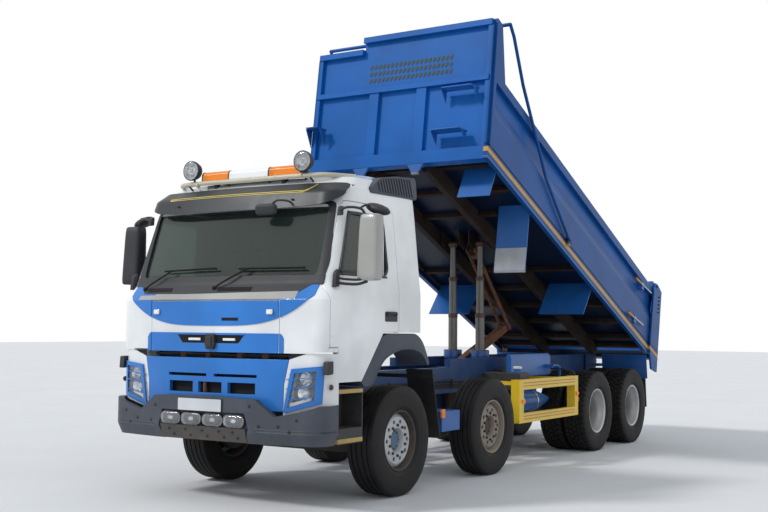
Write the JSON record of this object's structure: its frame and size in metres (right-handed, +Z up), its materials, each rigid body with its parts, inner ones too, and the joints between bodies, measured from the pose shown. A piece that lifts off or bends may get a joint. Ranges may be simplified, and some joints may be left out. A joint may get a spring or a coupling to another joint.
{
  "type": "dump truck",
  "caption": "Four-axle tipper lorry with a white and blue cab, yellow side guards and a raised bright-blue tipping body on twin telescopic rams.",
  "frame": {"origin": "on the ground, midway across and midway along the lorry as it stands with its body raised", "axes": "+X the left side of the lorry, +Y its rear, +Z up; it drives towards -Y"},
  "size_m": [3.18, 9.168, 5.1915],
  "materials": {
    "cab_paint": "gloss white",
    "front_paint": "gloss blue",
    "body_paint": "gloss bright blue",
    "underframe": "rust brown",
    "frame_paint": "blue, dusty",
    "bumper_grey": "dark grey, dusty",
    "trim_grey": "dark grey grained",
    "flap_rubber": "black, dusty",
    "interior": "dark grey",
    "seat_fabric": "grey cloth",
    "glass": "tinted",
    "axle_iron": "dusty dark grey",
    "engine_iron": "dark grey",
    "lamp": "clear lens",
    "spring_steel": "dark steel",
    "light_bar": "black base",
    "mirror_shell": "bright",
    "ram_barrel": "red-brown",
    "ram_chrome": "oiled steel",
    "rim_grey": "light grey",
    "rim_silver": "silver, dusty",
    "guard_yellow": "gloss yellow",
    "rust_steel": "rust brown",
    "visor_plastic": "dark grey",
    "tyre": "black, dusty"
  },
  "bodies": {
    "chassis": {"chassis_frame": "frame_paint", "engine_block": "engine_iron", "bumper": "bumper_grey", "lower_grille": "front_paint", "corner_panels": "cab_paint", "headlamps": "lamp", "lamp_guards": "frame_paint", "step_boxes": "trim_grey", "cab_arches": "trim_grey", "axles": "axle_iron", "leaf_springs": "spring_steel", "side_guards": "guard_yellow", "chassis_tanks": "frame_paint", "chassis_wings": "flap_rubber"},
    "cab": {"cab_shell": "cab_paint", "cab_roof": "cab_paint", "windscreen": "glass", "seats": "seat_fabric", "dashboard": "interior", "sun_visor": "visor_plastic", "light_bar": "light_bar"},
    "hatch": {"front_hatch": "front_paint"},
    "door_l": {"door_left": "cab_paint", "door_glass_left": "glass", "mirror_left": "mirror_shell"},
    "door_r": {"door_right": "cab_paint", "door_glass_right": "glass", "mirror_right": "mirror_shell"},
    "steer_1_l": {"knuckle_1_left": "axle_iron"},
    "steer_1_r": {"knuckle_1_right": "axle_iron"},
    "steer_2_l": {"knuckle_2_left": "axle_iron"},
    "steer_2_r": {"knuckle_2_right": "axle_iron"},
    "wheel_1_l": {"rim_1_left": "rim_grey", "tyre_1_left": "tyre"},
    "wheel_1_r": {"rim_1_right": "rim_grey", "tyre_1_right": "tyre"},
    "wheel_2_l": {"rim_2_left": "rim_grey", "tyre_2_left": "tyre"},
    "wheel_2_r": {"rim_2_right": "rim_grey", "tyre_2_right": "tyre"},
    "wheels_3_l": {"rims_3_left": "rim_silver", "tyres_3_left": "tyre"},
    "wheels_3_r": {"rims_3_right": "rim_silver", "tyres_3_right": "tyre"},
    "wheels_4_l": {"rims_4_left": "rim_silver", "tyres_4_left": "tyre"},
    "wheels_4_r": {"rims_4_right": "rim_silver", "tyres_4_right": "tyre"},
    "tipper": {"body_bin": "body_paint", "body_underframe": "underframe", "body_wings": "body_paint"},
    "gate": {"tailgate": "body_paint"},
    "sheeting": {"sheeting_arms": "body_paint"},
    "barrels": {"ram_barrels": "ram_barrel"},
    "stage_1": {"ram_tubes_lower": "ram_chrome"},
    "stage_2": {"ram_tubes_middle": "ram_chrome"},
    "stage_3": {"ram_tubes_upper": "ram_chrome"},
    "stay_low": {"stabiliser_lower": "rust_steel"},
    "stay_up": {"stabiliser_upper": "rust_steel"}
  },
  "joints": [
    {"name": "cab_tilt", "type": "hinge", "parent": "chassis", "child": "cab", "pos_m": [0, -4.4853, 1.375], "axis": [1, 0, 0], "range_deg": [0, 60]},
    {"name": "hatch_lift", "type": "hinge", "parent": "cab", "child": "hatch", "pos_m": [0, -4.4603, 1.868], "axis": [-1, 0, 0], "range_deg": [0, 75]},
    {"name": "door_l_hinge", "type": "hinge", "parent": "cab", "child": "door_l", "pos_m": [1.232, -4.2853, 1.5], "axis": [0, 0, -1], "range_deg": [0, 70]},
    {"name": "door_r_hinge", "type": "hinge", "parent": "cab", "child": "door_r", "pos_m": [-1.232, -4.2853, 1.5], "axis": [0, 0, 1], "range_deg": [0, 70]},
    {"name": "steer_1_l", "type": "hinge", "parent": "chassis", "child": "steer_1_l", "pos_m": [0.8, -2.9853, 0.538], "axis": [0, 0, 1], "range_deg": [-35, 35]},
    {"name": "steer_1_r", "type": "hinge", "parent": "chassis", "child": "steer_1_r", "pos_m": [-0.8, -2.9853, 0.538], "axis": [0, 0, 1], "range_deg": [-35, 35]},
    {"name": "steer_2_l", "type": "hinge", "parent": "chassis", "child": "steer_2_l", "pos_m": [0.8, -0.9903, 0.538], "axis": [0, 0, 1], "range_deg": [-25, 25]},
    {"name": "steer_2_r", "type": "hinge", "parent": "chassis", "child": "steer_2_r", "pos_m": [-0.8, -0.9903, 0.538], "axis": [0, 0, 1], "range_deg": [-25, 25]},
    {"name": "wheel_1_l_spin", "type": "hinge", "parent": "steer_1_l", "child": "wheel_1_l", "pos_m": [1.038, -2.9853, 0.538], "axis": [1, 0, 0], "continuous": true},
    {"name": "wheel_1_r_spin", "type": "hinge", "parent": "steer_1_r", "child": "wheel_1_r", "pos_m": [-1.038, -2.9853, 0.538], "axis": [1, 0, 0], "continuous": true},
    {"name": "wheel_2_l_spin", "type": "hinge", "parent": "steer_2_l", "child": "wheel_2_l", "pos_m": [1.038, -0.9903, 0.538], "axis": [1, 0, 0], "continuous": true},
    {"name": "wheel_2_r_spin", "type": "hinge", "parent": "steer_2_r", "child": "wheel_2_r", "pos_m": [-1.038, -0.9903, 0.538], "axis": [1, 0, 0], "continuous": true},
    {"name": "wheels_3_l_spin", "type": "hinge", "parent": "chassis", "child": "wheels_3_l", "pos_m": [0.8895, 2.1147, 0.538], "axis": [1, 0, 0], "continuous": true},
    {"name": "wheels_3_r_spin", "type": "hinge", "parent": "chassis", "child": "wheels_3_r", "pos_m": [-0.8895, 2.1147, 0.538], "axis": [1, 0, 0], "continuous": true},
    {"name": "wheels_4_l_spin", "type": "hinge", "parent": "chassis", "child": "wheels_4_l", "pos_m": [0.8895, 3.4847, 0.538], "axis": [1, 0, 0], "continuous": true},
    {"name": "wheels_4_r_spin", "type": "hinge", "parent": "chassis", "child": "wheels_4_r", "pos_m": [-0.8895, 3.4847, 0.538], "axis": [1, 0, 0], "continuous": true},
    {"name": "tip", "type": "hinge", "parent": "chassis", "child": "tipper", "pos_m": [0, 3.8607, 1.157], "axis": [-1, 0, 0], "range_deg": [-23.1, 21.9]},
    {"name": "gate_swing", "type": "hinge", "parent": "tipper", "child": "gate", "pos_m": [0, 4.3669, 2.3055], "axis": [1, 0, 0], "range_deg": [-10, 55]},
    {"name": "sheeting_swing", "type": "hinge", "parent": "tipper", "child": "sheeting", "pos_m": [0, 0.9727, 2.7617], "axis": [-1, 0, 0], "range_deg": [0, 118]},
    {"name": "ram_swing", "type": "hinge", "parent": "chassis", "child": "barrels", "pos_m": [0, 0.5647, 0.6], "axis": [-1, 0, 0], "range_deg": [-17.4, 16.5]},
    {"name": "ram_slide_1", "type": "slide", "parent": "barrels", "child": "stage_1", "axis": [0, 0, 1], "range_m": [-0.472, 0.448]},
    {"name": "ram_slide_2", "type": "slide", "parent": "stage_1", "child": "stage_2", "axis": [0, 0, 1], "range_m": [-0.472, 0.448]},
    {"name": "ram_slide_3", "type": "slide", "parent": "stage_2", "child": "stage_3", "axis": [0, 0, 1], "range_m": [-0.375, 0.356]},
    {"name": "stay_low_hinge", "type": "hinge", "parent": "chassis", "child": "stay_low", "pos_m": [0, 0.3647, 1.19], "axis": [1, 0, 0], "range_deg": [-17, 16.2]},
    {"name": "stay_up_hinge", "type": "hinge", "parent": "stay_low", "child": "stay_up", "pos_m": [0, 1.7045, 1.6606], "axis": [1, 0, 0], "range_deg": [-56.9, 59.9]}
  ],
  "couplings": [
    {"joint": "steer_1_r", "follows": "steer_1_l", "ratio": 1},
    {"joint": "steer_2_l", "follows": "steer_1_l", "ratio": 0.7142},
    {"joint": "steer_2_r", "follows": "steer_1_l", "ratio": 0.7142},
    {"joint": "ram_swing", "follows": "tip", "ratio": 0.75},
    {"joint": "ram_slide_1", "follows": "tip", "m_per_rad": 1.16},
    {"joint": "ram_slide_2", "follows": "tip", "m_per_rad": 1.16},
    {"joint": "ram_slide_3", "follows": "tip", "m_per_rad": 0.92},
    {"joint": "stay_low_hinge", "follows": "tip", "ratio": 0.734},
    {"joint": "stay_up_hinge", "follows": "tip", "ratio": -2.59}
  ]
}
